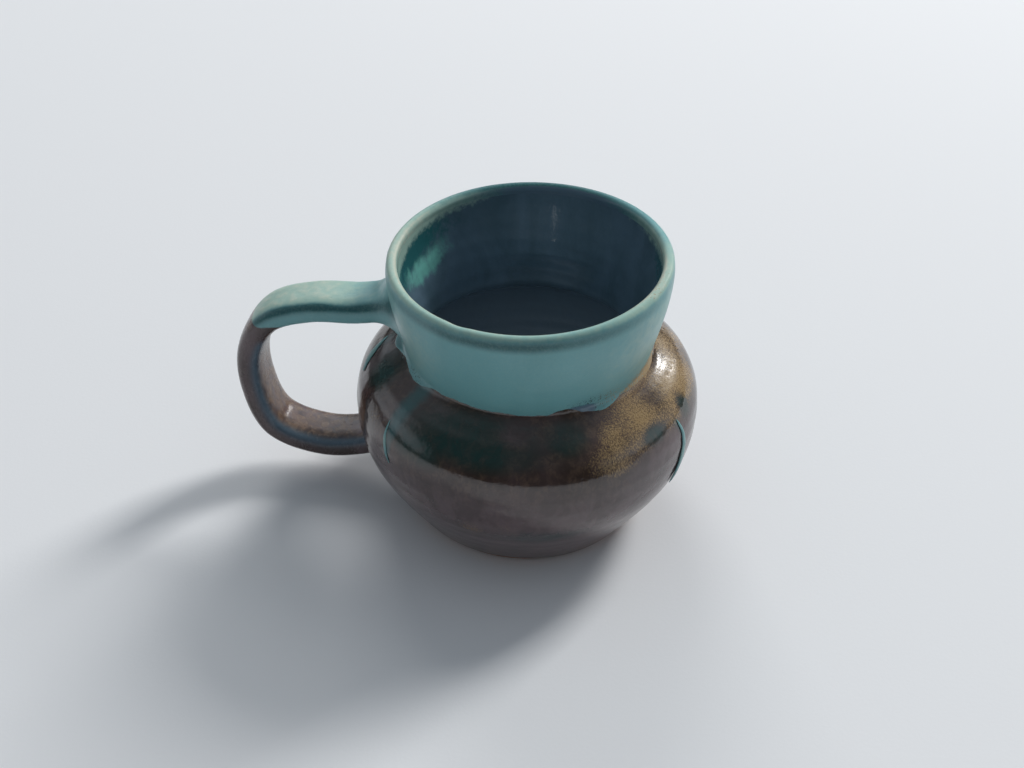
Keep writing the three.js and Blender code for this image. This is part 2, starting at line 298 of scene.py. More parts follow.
class Handle:
    """The strap handle: a line in the XZ plane and a full, slightly squared section along it."""

    # The middle of the strap, from collar to belly: reach from the mug's axis, and height, in mm.
    LINE = [(37, 70.9), (52, 67.5), (67, 66.2), (80.6, 60.9), (87.8, 49),
            (88.3, 34.2), (82.6, 18.6), (67, 13), (52, 15.4), (44, 19.6)]

    def __init__(self, size, pot):
        self.size = size
        self.pot = pot
        knots = [Vector((-reach, 0, height)) * MM for reach, height in self.LINE]
        self.line = []
        for i in range(len(knots) - 1):
            before = knots[max(i - 1, 0)]
            start, end = knots[i], knots[i + 1]
            after = knots[min(i + 2, len(knots) - 1)]
            self.line += self.span(before, start, end, after)[bool(self.line):]
        self.distances = distances_along(self.line)
        self.length = self.distances[-1]

    @staticmethod
    def span(before, start, end, after):
        """A centripetal Catmull-Rom span from `start` to `end`."""
        gaps = [max((b - a).length, 1e-9) ** 0.5 for a, b in ((before, start), (start, end), (end, after))]
        if (start - before).length < 1e-9:
            gaps[0] = gaps[1]
        if (after - end).length < 1e-9:
            gaps[2] = gaps[1]
        first, middle, last = gaps
        leave = (start - before) / first - (end - before) / (first + middle) + (end - start) / middle
        arrive = (end - start) / middle - (after - start) / (middle + last) + (after - end) / last
        return interpolate_bezier(
            start, start + leave * middle / 3, end - arrive * middle / 3, end, 40
        )

    def centre(self, share):
        """The middle of the strap at a share of its length, and the way the strap runs there."""
        distance = min(max(share, 0), 1) * self.length
        index = min(bisect_right(self.distances, distance) - 1, len(self.line) - 2)
        gap = self.distances[index + 1] - self.distances[index]
        point = self.line[index].lerp(self.line[index + 1], (distance - self.distances[index]) / gap)
        before = self.line[max(index - 3, 0)]
        after = self.line[min(index + 4, len(self.line) - 1)]
        return point, (after - before).normalized()

    def stand_off(self, point):
        """How far a point is outside the pot, measured level with it."""
        height = min(max(point.z, 1 * MM), self.size.rim_height - 3 * MM)
        surface, _ = self.pot.outline.at(self.pot.outside_at(height))
        return math.hypot(point.x, point.y) - surface.x

    def place(self, turn, share, depth):
        """A point of the strap's surface, or `depth` inside it. `turn` goes round the section."""
        size = self.size
        centre, along = self.centre(share)
        across = Vector((-along.z, 0, along.x))
        full = lambda value: math.copysign(abs(value) ** (2 / size.fullness), value)
        hand = noise.noise(Vector((share * 7, math.cos(turn), math.sin(turn)))) * 0.1 * MM
        side = Vector((0, 1, 0)) * (size.strap_width / 2 + hand - depth) * full(math.cos(turn))
        rise = across * (size.strap_thickness / 2 + 0.6 * hand - depth) * full(math.sin(turn))
        point = centre + side + rise
        radius = (size.fillet if share < 0.5 else 0.6 * size.fillet) - 2 * depth
        away = self.stand_off(point)
        near = 1 - min(max(away / radius, 0), 1)
        flare = min(radius * (1 - math.sqrt(max(1 - near * near, 0))), 0.86 * radius)
        flare *= smooth(-4 * MM, -0.6 * MM, away)
        outward = side.normalized() * abs(math.cos(turn)) ** 0.8 + across * math.sin(turn)
        point += outward * flare
        level = Vector((point.x, point.y, 0)).normalized()
        point += level * (away - self.stand_off(point))
        return self.kept_in_wall(point)

    def kept_in_wall(self, point):
        """The point, moved out level if it would come through the wall into the pot."""
        deepest = -0.62 * self.size.wall
        missing = deepest - self.stand_off(point)
        if missing > 0:
            point += Vector((point.x, point.y, 0)).normalized() * missing
        return point


# ---- Meshes ----


def settle(bm, place, paint=None):
    """Moves each vertex of a turned mesh to where its column's angle, layer and row put it.

    `paint` gives the vertex's four masks from its new place, its angle and its row.
    """
    masks = bm.verts.layers.float_color.new("paint") if paint else None
    for vertex in bm.verts:
        turn = math.atan2(vertex.co.y, vertex.co.x)
        layer = math.hypot(vertex.co.x, vertex.co.y)
        row = vertex.co.z
        vertex.co = place(turn, layer, row)
        if paint:
            vertex[masks] = paint(vertex.co, turn, row)


def evenly(low, high, steps):
    """Even steps from `low` up to `high`, without `high` itself."""
    return [low + (high - low) * step / steps for step in range(steps)]


def turned(outline, columns, closed=True):
    """A bmesh of an outline of (layer, row) pairs, spun a full turn about Z."""
    bm = bmesh.new()
    verts = [bm.verts.new((layer, 0, row)) for layer, row in outline]
    pairs = list(zip(verts, verts[1:]))
    if closed:
        pairs.append((verts[-1], verts[0]))
    edges = [bm.edges.new(pair) for pair in pairs]
    bmesh.ops.spin(
        bm, geom=verts + edges, cent=(0, 0, 0), axis=(0, 0, 1), angle=math.tau, steps=columns,
        use_merge=True,
    )
    bmesh.ops.remove_doubles(bm, verts=bm.verts, dist=1e-5)
    return bm


def finish_piece(bm, name, material, slot, *nodes):
    """Turns a bmesh into a piece that rides on the mug and stands for some CAD nodes."""
    bmesh.ops.recalc_face_normals(bm, faces=bm.faces)
    mesh = bpy.data.meshes.new(name)
    bm.to_mesh(mesh)
    bm.free()
    mesh.shade_smooth()
    mesh.materials.append(finish(material))
    piece = bpy.data.objects.new(name, mesh)
    bpy.context.scene.collection.objects.link(piece)
    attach(piece, BODY)
    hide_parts(*nodes)


def coat(pot, start_at, end_at, paint, columns=384, row_height=0.6 * MM,
         roll=0.55 * MM, feather=0.55 * MM, bead=0.0):
    """A closed coat of glaze. It thins over `roll` at its first edge, and over `feather` at its last.

    `bead` is how much thicker the glaze is just above its first edge.
    """
    thickness = pot.size.glaze
    longest = max(end_at(a) - start_at(a) for a in range(-180, 180, 10))
    rows = max(8, round(longest / row_height))
    closes = end_at(0) >= pot.floor
    backs = [0, 1] + list(range(4, rows - 3, 4)) + [rows - 1, rows]
    outline = [(2, row) for row in range(rows + (not closes))]
    if closes:
        outline += [(0, rows + 1), (0, rows + 2)]
        backs = backs[:-1]
    outline += [(1, row) for row in reversed(backs)]
    bm = turned(outline, columns)

    def thinned(far, over):
        """How deep the skin lies at a distance from an edge: a long feather lies shallower."""
        near = 1 - min(far / over, 1)
        return (0.9 if over < 1 * MM else 0.3) * thickness * near ** 2.2

    def place(turn, layer, row):
        angle = math.degrees(turn)
        if layer < 0.5:
            return pot.place(pot.floor, 0, thickness if row > rows + 1.5 else 0)
        start, end = start_at(angle), end_at(angle)
        distance = start + (end - start) * row / rows
        if layer < 1.5:
            return pot.place(distance, angle, thickness)
        depth = thinned(distance - start, roll)
        if not closes:
            depth = max(depth, thinned(end - distance, feather))
        swell = bead * (1 - smooth(1 * MM, 6 * MM, distance - start))
        return pot.place(distance, angle, depth - swell)

    def masks(point, turn, row):
        start, end = start_at(math.degrees(turn)), end_at(math.degrees(turn))
        return paint(point, math.degrees(turn), start + (end - start) * row / rows)

    settle(bm, place, masks)
    return bm


# ---- Materials ----


def fresh_material(name):
    """A material, its empty node tree, and the object's own coordinates in metres."""
    material = bpy.data.materials.new(name)
    material.use_nodes = True
    material.node_tree.nodes.clear()
    tree = Tree(material.node_tree)
    return material, tree, tree.add("ShaderNodeTexCoord").outputs["Object"]


class Tree:
    """Adds nodes to a node tree, and joins them up by their sockets' names."""

    def __init__(self, tree):
        self.tree = tree

    def add(self, kind, inputs=None, **settings):
        node = self.tree.nodes.new(kind)
        for name, value in settings.items():
            setattr(node, name, value)
        for name, value in (inputs or {}).items():
            self.set(node.inputs[name], value)
        return node

    def set(self, socket, value):
        if isinstance(value, bpy.types.NodeSocket):
            self.tree.links.new(value, socket)
        elif hasattr(value, "__len__") and len(value) == 3 and socket.type == "RGBA":
            socket.default_value = (*value, 1)
        else:
            socket.default_value = value

    def math(self, operation, *values, clamp=False):
        values = dict(enumerate(values))
        return self.add("ShaderNodeMath", values, operation=operation, use_clamp=clamp).outputs[0]

    def plus(self, first, second, clamp=False):
        return self.math("ADD", first, second, clamp=clamp)

    def minus(self, first, second):
        return self.math("SUBTRACT", first, second)

    def times(self, first, second):
        return self.math("MULTIPLY", first, second)

    def mix(self, factor, first, second):
        """A mix of two colours."""
        values = {0: factor, 6: first, 7: second}
        return self.add("ShaderNodeMix", values, data_type="RGBA").outputs[2]

    def layers(self, body, *coats):
        """A colour with others laid over it, each a mask and its colour."""
        for mask, colour_value in coats:
            body = self.mix(mask, body, colour_value)
        return body

    def blend(self, factor, first, second):
        """A mix of two numbers."""
        values = {0: factor, 2: first, 3: second}
        return self.add("ShaderNodeMix", values, data_type="FLOAT").outputs[0]

    def ramp(self, value, low, high, start=0.0, end=1.0):
        """`value` from low to high, spread evenly from start to end and kept within them."""
        return self.add(
            "ShaderNodeMapRange", {0: value, 1: low, 2: high, 3: start, 4: end},
            interpolation_type="SMOOTHSTEP",
        ).outputs[0]

    def noise(self, vector, scale, detail=2.0, roughness=0.5, distortion=0.0):
        return self.add(
            "ShaderNodeTexNoise",
            {"Vector": vector, "Scale": scale, "Detail": detail, "Roughness": roughness,
             "Distortion": distortion},
        ).outputs[0]

    def ragged(self, value, vector, scale, detail, amount):
        """`value` with its edges torn by a fine noise."""
        torn = self.minus(self.noise(vector, scale, detail, 0.6), 0.5)
        return self.plus(value, self.times(torn, amount))

    def drifts(self, vector, scale, pull, contrast):
        return self.group(glaze_drifts, Vector=vector, Scale=scale, Pull=pull, Contrast=contrast)["Mask"]

    def specks(self, vector, scale, amount, softness):
        return self.group(
            glaze_specks, Vector=vector, Scale=scale, Amount=amount, Softness=softness
        )["Mask"]

    def group(self, build, **inputs):
        """The outputs of a node group, which `build` makes the first time that it is used."""
        name = build.__name__
        if name not in bpy.data.node_groups:
            build(name)
        return self.add("ShaderNodeGroup", inputs, node_tree=bpy.data.node_groups[name]).outputs

    def paint(self):
        """The four masks painted on the piece: red, green, blue and alpha."""
        attribute = self.add("ShaderNodeAttribute", attribute_name="paint")
        parts = self.add("ShaderNodeSeparateColor", {"Color": attribute.outputs["Color"]})
        return [*parts.outputs[:3], attribute.outputs["Alpha"]]


def new_group(name, inputs, outputs):
    """A new shader node group with named number sockets, and its two ends."""
    group = bpy.data.node_groups.new(name, "ShaderNodeTree")
    for socket, default in inputs.items():
        kind = "NodeSocketVector" if default is None else "NodeSocketFloat"
        made = group.interface.new_socket(socket, in_out="INPUT", socket_type=kind)
        if default is not None:
            made.default_value = default
    for socket in outputs:
        group.interface.new_socket(socket, in_out="OUTPUT", socket_type="NodeSocketFloat")
    tree = Tree(group)
    start = tree.add("NodeGroupInput").outputs
    end = tree.add("NodeGroupOutput").inputs
    return tree, start, end


def glaze_specks(name):
    """Specks of one size: Amount is the share of the surface that they cover."""
    tree, start, end = new_group(
        name, {"Vector": None, "Scale": 900.0, "Amount": 0.3, "Softness": 0.06}, ["Mask"]
    )
    fine = tree.noise(start["Vector"], start["Scale"], 3.0, 0.65)
    threshold = tree.blend(start["Amount"], 0.72, 0.30)
    low = tree.minus(threshold, start["Softness"])
    high = tree.plus(threshold, start["Softness"])
    tree.set(end["Mask"], tree.ramp(fine, low, high))


def glaze_drifts(name):
    """Slow, uneven drifts of one glaze in another, pulled down the wall by gravity."""
    tree, start, end = new_group(
        name, {"Vector": None, "Scale": 60.0, "Pull": 0.5, "Contrast": 0.2}, ["Mask"]
    )
    stretch = tree.add("ShaderNodeCombineXYZ", {0: 1.0, 1: 1.0, 2: start["Pull"]}).outputs[0]
    drawn = tree.add(
        "ShaderNodeVectorMath", {0: start["Vector"], 1: stretch}, operation="MULTIPLY"
    ).outputs[0]
    cloud = tree.noise(drawn, start["Scale"], 5.0, 0.58, 0.6)
    low = tree.minus(0.5, start["Contrast"])
    high = tree.plus(0.5, start["Contrast"])
    tree.set(end["Mask"], tree.ramp(cloud, low, high))


def glaze_skin(name):
    """The fine unevenness of a fired glaze: orange peel and a few pinholes."""
    tree, start, end = new_group(
        name, {"Vector": None, "Peel": 0.5, "Pinholes": 0.5}, ["Height", "Variation"]
    )
    peel = tree.noise(start["Vector"], 420.0, 2.0, 0.5)
    slow = tree.noise(start["Vector"], 90.0, 2.0, 0.5)
    cells = tree.add(
        "ShaderNodeTexVoronoi", {"Vector": start["Vector"], "Scale": 260.0}, feature="F1"
    ).outputs["Distance"]
    pit = tree.ramp(cells, 0.05, 0.11, 1.0, 0.0)
    holes = tree.times(pit, start["Pinholes"])
    waves = tree.times(tree.plus(peel, slow), start["Peel"])
    tree.set(end["Height"], tree.minus(waves, holes))
    tree.set(end["Variation"], slow)


def shade(tree, colour_value, roughness, height, strength, distance, **constants):
    """The surface shader itself, with its height turned into a bump."""
    bump_node = tree.add(
        "ShaderNodeBump", {"Strength": strength, "Distance": distance, "Height": height}
    )
    shader = tree.add(
        "ShaderNodeBsdfPrincipled",
        {"Base Color": colour_value, "Roughness": roughness, "Normal": bump_node.outputs[0]},
    )
    for name, value in constants.items():
        shader.inputs[name.replace("_", " ")].default_value = value
    output = tree.add("ShaderNodeOutputMaterial")
    tree.set(output.inputs["Surface"], shader.outputs[0])


def teal_body(tree, colours, place, broken_and_sheen, pooled_and_shade):
    """Teal, with sage where it breaks and as painted sheen, and dark teal where it pools and as painted
    shade.
    """
    drifts = tree.drifts(place, 70.0, 0.35, 0.24)
    fine = tree.specks(place, 1500.0, 0.45, 0.12)
    pool_and_shade = tree.ragged(pooled_and_shade, place, 420.0, 4.0, tree.times(pooled_and_shade, 0.4))
    pool_and_shade = tree.plus(pool_and_shade, tree.times(drifts, 0.13), clamp=True)
    edge = tree.ragged(broken_and_sheen, place, 420.0, 4.0, 0.6)
    return tree.layers(
        colours.teal,
        (pool_and_shade, colours.deep_teal),
        (tree.times(fine, 0.10), colours.sage),
        (tree.ramp(edge, 0.15, 0.85), colours.sage),
        (tree.ramp(edge, 0.72, 1.05, 0.0, 0.8), colours.cream),
    )


def teal_glaze(colours):
    """Satin teal: paint is (breaking and painted sheen, pooling and painted shade, dark specks, gone
    navy).
    """
    material, tree, place = fresh_material("teal satin")
    broken_and_sheen, pooled_and_shade, specks, navy = tree.paint()
    body = teal_body(tree, colours, place, broken_and_sheen, pooled_and_shade)
    dots = tree.specks(place, 1900.0, specks, 0.05)
    across = tree.add("ShaderNodeSeparateXYZ", {0: place}).outputs["X"]
    rust = tree.mix(tree.ramp(across, 22 * MM, 31 * MM), colours.green_black, colours.gold)
    body = tree.mix(tree.times(dots, tree.ramp(specks, 0.02, 0.2)), body, rust)
    gone = tree.ramp(tree.ragged(navy, place, 420.0, 4.0, 0.6), 0.25, 0.75)
    body = tree.mix(gone, body, colours.navy)
    skin = tree.group(glaze_skin, Vector=place, Peel=0.6, Pinholes=0.3)
    satin = tree.ramp(skin["Variation"], 0.3, 0.7, 0.30, 0.42)
    rough = tree.blend(gone, satin, 0.12)
    shade(tree, body, rough, skin["Height"], 0.3, 0.35 * MM, IOR=1.55)
    return material


def handle_glaze(colours):
    """Teal running into brown: paint is (paler, as painted highlight and floor reflection; painted shade;
    brown; navy edge).
    """
    material, tree, place = fresh_material("handle satin")
    broken_and_sheen, pooled_and_shade, brown, navy = tree.paint()
    body = teal_body(tree, colours, place, broken_and_sheen, pooled_and_shade)
    drifts = tree.drifts(place, 80.0, 0.6, 0.2)
    fine = tree.drifts(place, 420.0, 0.7, 0.2)
    lower = tree.mix(drifts, colours.plum, colours.brown)
    # On the inner face, the tan laid in here is painted reflection of the floor.
    lower = tree.mix(tree.times(fine, broken_and_sheen), lower, colours.tan)
    lower = tree.mix(navy, lower, colours.navy)
    gone = tree.ramp(tree.ragged(brown, place, 300.0, 4.0, 0.35), 0.38, 0.62)
    body = tree.mix(gone, body, lower)
    skin = tree.group(glaze_skin, Vector=place, Peel=0.8, Pinholes=0.4)
    satin = tree.ramp(skin["Variation"], 0.3, 0.7, 0.30, 0.42)
    rough = tree.blend(gone, satin, tree.blend(fine, 0.20, 0.30))
    shade(tree, body, rough, skin["Height"], 0.4, 0.4 * MM, IOR=1.6)
    return material


def brown_glaze(colours):
    """Glossy iron brown: paint is (gold crystals, green black, plum with painted floor reflection, teal
    run over it).
    """
    material, tree, place = fresh_material("iron gloss")
    gold, green, plum, teal = tree.paint()
    drifts = tree.drifts(place, 55.0, 0.5, 0.18)
    mottle = tree.drifts(place, 190.0, 0.7, 0.12)
    freckle = tree.drifts(place, 650.0, 0.6, 0.16)
    starved = tree.times(tree.times(mottle, freckle), 0.32)
    # Plum, which is partly painted reflection of the pale floor, is also made rougher.
    matt = tree.times(plum, tree.blend(mottle, 0.45, 1.0))
    dark = tree.times(green, tree.blend(mottle, 1.0, 0.70))
    fur = tree.add("ShaderNodeVectorMath", {0: place, 1: (1.0, 1.0, 0.42)}, operation="MULTIPLY")
    crystals = tree.specks(fur.outputs[0], 2500.0, gold, 0.16)
    worn = tree.times(crystals, tree.ramp(gold, 0.0, 0.5))
    run = tree.ramp(tree.ragged(teal, place, 380.0, 3.0, 0.5), 0.1, 1.1, 0.0, 0.85)
    body = tree.layers(
        colours.brown,
        (tree.times(drifts, 0.4), colours.plum), (starved, colours.tan), (matt, colours.plum),
        (dark, colours.green_black), (worn, colours.gold), (run, colours.deep_teal),
    )
    skin = tree.group(glaze_skin, Vector=place, Peel=0.8, Pinholes=0.25)
    gloss = tree.ramp(skin["Variation"], 0.3, 0.7, 0.10, 0.17)
    gloss = tree.blend(matt, gloss, 0.22)
    gloss = tree.blend(worn, gloss, 0.28)
    shade(tree, body, gloss, skin["Height"], 0.3, 0.35 * MM, IOR=1.7)
    return material


def navy_glaze(colours):
    """Glossy navy liner: paint is (pale lip, green fade, turquoise splash, painted light low down)."""
    material, tree, place = fresh_material("navy gloss")
    pale, green, splash, painted_light_low = tree.paint()
    drifts = tree.drifts(place, 60.0, 0.5, 0.2)
    flecks = tree.noise(place, 520.0, 4.0, 0.65)
    flecks = tree.times(tree.minus(flecks, 0.5), 0.9)
    fade = tree.ramp(tree.plus(green, flecks), 0.25, 0.75)
    shine = tree.ramp(tree.plus(splash, flecks), 0.2, 1.05)
    light = tree.ramp(tree.plus(pale, flecks), 0.3, 0.8)
    body = tree.layers(
        colours.navy,
        (tree.times(drifts, 0.35), colours.green_black), (painted_light_low, colours.milky_navy),
        (fade, colours.deep_teal), (shine, colours.turquoise), (light, colours.sage),
    )
    skin = tree.group(glaze_skin, Vector=place, Peel=0.7, Pinholes=0.2)
    shade(tree, body, 0.08, skin["Height"], 0.25, 0.35 * MM, IOR=1.6)
    return material


def bare_clay(colours):
    """Bare fired stoneware: grog, iron specks and a toasted line under the glaze."""
    material, tree, place = fresh_material("bare stoneware")
    drifts = tree.drifts(place, 90.0, 1.0, 0.25)
    body = tree.mix(drifts, colours.clay, colours.toasted)
    iron = tree.specks(place, 1400.0, 0.2, 0.03)
    body = tree.mix(tree.times(iron, 0.8), body, colours.brown)
    grog = tree.noise(place, 1800.0, 4.0, 0.7)
    coarse = tree.noise(place, 500.0, 2.0, 0.5)
    height = tree.plus(grog, tree.times(coarse, 0.8))
    shade(tree, body, 0.86, height, 0.7, 0.25 * MM)
    return material


MATERIALS = {
    "teal satin": teal_glaze,
    "handle satin": handle_glaze,
    "iron gloss": brown_glaze,
    "navy gloss": navy_glaze,
    "bare stoneware": bare_clay,
}


def finish(name):
    """A material of the mug, made the first time that it is asked for."""
    if name not in bpy.data.materials:
        return MATERIALS[name](bpy.context.scene.mug_colours)
    return bpy.data.materials[name]


# ---- Painting ----
#
# Masks are painted at the vertices of a coat. Angles are in degrees about the mug, 0 opposite the
# handle and -90 at the front. Heights are in millimetres above the table.


def strongest(*masks):
    return min(1.0, max(0.0, *masks))


def around(angle, centre, half_width):
    """1 at one side of the mug, falling to 0 at half_width degrees on both sides."""
    return bump(0, half_width, turn_between(angle, centre))


class Spot(NamedTuple):
    """A soft oval of colour on the wall."""

    strength: float
    angle: float
    height: float
    half_angle: float
    half_height: float

    def at(self, point):
        """Its strength in the middle, falling to 0 at its edge."""
        here = math.degrees(math.atan2(point.y, point.x))
        reach = math.hypot(
            turn_between(here, self.angle) / self.half_angle,
            (point.z / MM - self.height) / self.half_height,
        )
        return self.strength * (1 - smooth(0.25, 1.0, reach))


class Streak(NamedTuple):
    """Teal that ran down thinly over the brown, from a top to a foot, narrowing as it went."""

    strength: float
    top_angle: float
    top_height: float
    foot_angle: float
    foot_height: float
    half_width: float

    def at(self, angle, height):
        share = (self.top_height - height) / (self.top_height - self.foot_height)
        share = min(max(share, 0), 1)
        middle = self.top_angle + (self.foot_angle - self.top_angle) * share
        width = self.half_width * (1.1 - 0.9 * share ** 0.7)
        within = smooth(self.foot_height - 1, self.foot_height + 2, height)
        within *= 1 - smooth(self.top_height - 1, self.top_height + 1, height)
        off_middle = abs(turn_between(angle, middle)) / width
        return self.strength * within * (1 - 0.35 * share) * (1 - smooth(0.1, 1.4, off_middle))


# Painted sheen: paler patches on the collar's right and left sides.
PAINTED_SHEEN_RIGHT = Spot(0.46, -10, 76, 66, 28)
PAINTED_SHEEN_LEFT = Spot(0.42, -150, 74, 50, 24)
RUSTY_COLLAR = Spot(0.85, -14, 58, 42, 7)
SPECKS_AT_FRONT = Spot(0.36, -52, 61.5, 24, 5)
SPECKS_BY_HANDLE = Spot(0.30, -143, 59.5, 14, 3)
NAVY_IN_CREASE = Spot(0.95, -60, 60, 15, 3.2)
GOLD_SPOTS = (
    Spot(0.62, -20, 57, 40, 14), Spot(0.60, -42, 54, 26, 10), Spot(0.46, -52, 50, 20, 9),
    Spot(0.56, 8, 56, 42, 14), Spot(0.40, 60, 56, 50, 11), Spot(0.38, 125, 55, 46, 11),
    Spot(0.34, -92, 27, 24, 9), Spot(0.24, -146, 49, 12, 6),
)
OLIVE_SPOTS = (Spot(1.0, -34, 50.5, 9, 3.5), Spot(0.9, -14, 50, 6, 5))
GREEN_SPOTS = (
    Spot(1.0, -104, 54, 36, 7.5), Spot(0.9, -122, 50, 18, 7), Spot(0.75, -68, 55.5, 12, 4),
    Spot(0.6, 75, 47, 38, 9), Spot(0.5, 165, 44, 26, 9), Spot(0.55, -78, 24, 22, 5),
)
# The broad patch at -28 degrees is painted reflection of the pale floor.
PLUM_SPOTS = (
    Spot(0.75, -166, 51, 18, 8), Spot(0.85, -28, 42, 34, 9), Spot(0.6, 20, 40, 40, 12),
    Spot(0.8, -87, 57, 10, 3), Spot(0.8, -120, 56.5, 6, 2), Spot(0.5, 120, 42, 50, 9),
)
GAP_IN_GREEN = Spot(0.8, -87, 56.5, 9, 3)
BLOTCH_BY_HANDLE = Spot(1.0, -157, 54.3, 11, 4.6)
TEAL_STREAKS = (
    Streak(1.0, -134, 60, -133, 40, 6.5), Streak(0.6, -180, 57, -168, 49, 5.5),
    Streak(0.6, -23, 50, -17, 31, 1.6),
)


def paint_collar(pot):
    def paint(point, angle, distance):
        height = point.z / MM
        height += pot.lip_dip(angle) / MM * smooth(58, 90, height)
        past = (distance - pot.crest) / MM
        inside = smooth(0.6, 2.0, past)
        lip = 1 - smooth(1.2, 3.4, abs(past))
        front, left, right = (around(angle, *side) for side in ((-95, 80), (182, 80), (-15, 60)))
        inner_left, inner_right = around(angle, 168, 78), around(angle, 12, 50)
        broken_and_sheen = lip * (0.12 + 0.50 * front + 0.72 * left + 0.72 * right)
        cream = bump(1.5, 1.3, past) * strongest(front, 0.7 * left, 0.8 * right)
        pale_inside = 0.85 * inside * strongest(inner_left ** 0.6, inner_right ** 0.6)
        broken_and_sheen = strongest(broken_and_sheen + 0.5 * cream, pale_inside)
        # Painted shade: a darker band just under the lip, strongest at the front.
        painted_shade_under_lip = bump(3.9, 3.0, -past) * (0.30 + 0.70 * around(angle, -92, 70))
        crease = (1 - smooth(57, 66, height)) * 0.20
        # Painted shade: the lip is painted darker at the back.
        painted_shade_back_lip = lip * around(angle, 98, 85)
        pooled_inside = 0.6 * inside * (1 - around(angle, 178, 62))
        pooled_and_shade = strongest(painted_shade_under_lip, crease, painted_shade_back_lip, pooled_inside)
        # pale is painted sheen, laid in as sage on the collar's sides.
        pale = PAINTED_SHEEN_RIGHT.at(point) + PAINTED_SHEEN_LEFT.at(point)
        dots = strongest(
            SPECKS_AT_FRONT.at(point), SPECKS_BY_HANDLE.at(point), RUSTY_COLLAR.at(point),
            0.09 * (1 - smooth(59, 64, height)), 0.20 * lip * around(angle, -20, 32),
        )
        away_from_pale = (1 - around(angle, 168, 84) ** 0.6) * (1 - around(angle, 12, 60) ** 0.5)
        navy = strongest(inside * away_from_pale, NAVY_IN_CREASE.at(point))
        return (strongest(broken_and_sheen, pale * (1 - painted_shade_under_lip)), pooled_and_shade, dots, navy)
    return paint


def paint_belly(point, angle, distance):
    height = point.z / MM
    streak = noise.noise(Vector((point.x, point.y, point.z * 0.4)) * 110)
    olive = strongest(*(spot.at(point) for spot in OLIVE_SPOTS))
    gold = strongest(*(spot.at(point) for spot in GOLD_SPOTS))
    gold = strongest((gold - 0.04 + 0.42 * streak) * (1 - 0.85 * olive) * smooth(0.0, 0.4, gold))
    green = strongest(0.85 * olive, *(spot.at(point) for spot in GREEN_SPOTS))
    green = strongest(green * (1 - 0.8 * gold) * (1 - GAP_IN_GREEN.at(point)))
    # Painted reflection: the lower belly is painted plum, for the pale floor mirrored in the glaze.
    plum = strongest(0.75 * (1 - smooth(34, 47, height)), *(spot.at(point) for spot in PLUM_SPOTS))
    teal = strongest(*(run.at(angle, height) for run in TEAL_STREAKS))
    blotch = BLOTCH_BY_HANDLE.at(point)
    return (gold, strongest(green, 0.8 * blotch * (0.6 + streak)), plum * (1 - blotch), teal)


def paint_liner(pot):
    def paint(point, angle, distance):
        height = point.z / MM
        down = (distance - pot.crest) / MM
        left, right = around(angle, 176, 66), around(angle, -2, 46)
        green = strongest(left * (1 - smooth(8, 24, down)), 0.9 * right * (1 - smooth(5, 18, down)))
        strip = 6 + 3 * around(angle, 190, 40)
        pale = around(angle, 168, 78) ** 0.6 * (1 - smooth(strip - 4, strip + 4, down))
        pale = strongest(pale, 0.7 * around(angle, 12, 50) ** 0.6 * (1 - smooth(4, 9, down)))
        along = turn_between(angle, 163)
        above = height - 74.6 - 0.0055 * along ** 2
        streak = noise.noise(Vector((point.x, point.y, point.z * 0.3)) * 420)
        splash = bump(0, 29, along) ** 0.5 * (1 - smooth(0.1, 1.0, abs(above) / (6.5 + 2 * streak)))
        # Painted light: the bottom of the inside is painted paler, for the sky mirrored in its glossy
        # floor.
        painted_light_low = 1 - smooth(46, 62, height)
        return (pale, green, strongest(splash * (1.0 + 0.35 * streak)), painted_light_low)
    return paint


def paint_handle(point, turn, row):
    """Row 0 is at the collar and row 1 at the belly; sin(turn) < 0 is the outer face."""
    height = point.z / MM
    near_side, inner = -math.cos(turn), math.sin(turn)
    outer_edge = around(math.degrees(turn), -149, 34.38)
    inner_edge = around(math.degrees(turn), 148, 34.38)
    root = 1 - smooth(0.05, 0.2, row)
    brown = 1 - smooth(58.5, 63, height + 1.5 * noise.noise(point * 150))
    brown *= smooth(0.08, 0.2, row)
    # Painted highlight: the top of the strap is painted paler, as sage.
    painted_highlight_top = smooth(0.3, 0.75, -inner) * smooth(50, 60, height)
    # Painted shade: a dark band along the edge between the strap's top and its front side.
    pooled_and_shade = outer_edge * smooth(58, 62, height) * (1.1 + 0.4 * noise.noise(point * 110))
    # Painted reflection: the strap's inner face is painted tan here, for the pale floor mirrored in it.
    starved = smooth(0.3, 0.9, inner) * (1 - smooth(34, 62, height)) * smooth(10, 16, height)
    broken_and_sheen = strongest(
        (0.8 - 0.5 * root) * painted_highlight_top * (1 - pooled_and_shade), 0.9 * starved * brown,
        0.042 * smooth(0.8, 1.0, near_side),
    )
    navy = strongest(0.85 * inner_edge * brown * (1 - smooth(52, 56, height)))
    return (broken_and_sheen, strongest(pooled_and_shade), brown, navy)


def paint_run(row):
    """Row 1 is the top of a run and row -1 its foot."""
    foot = 1 - smooth(-0.9, -0.2, row)
    return (0.12 + 0.25 * bump(-0.1, 0.7, row), 0.35 + 0.3 * foot, 0.0, 0.0)


# ---- Operators ----


def sizes():
    return bpy.context.scene.mug_sizes


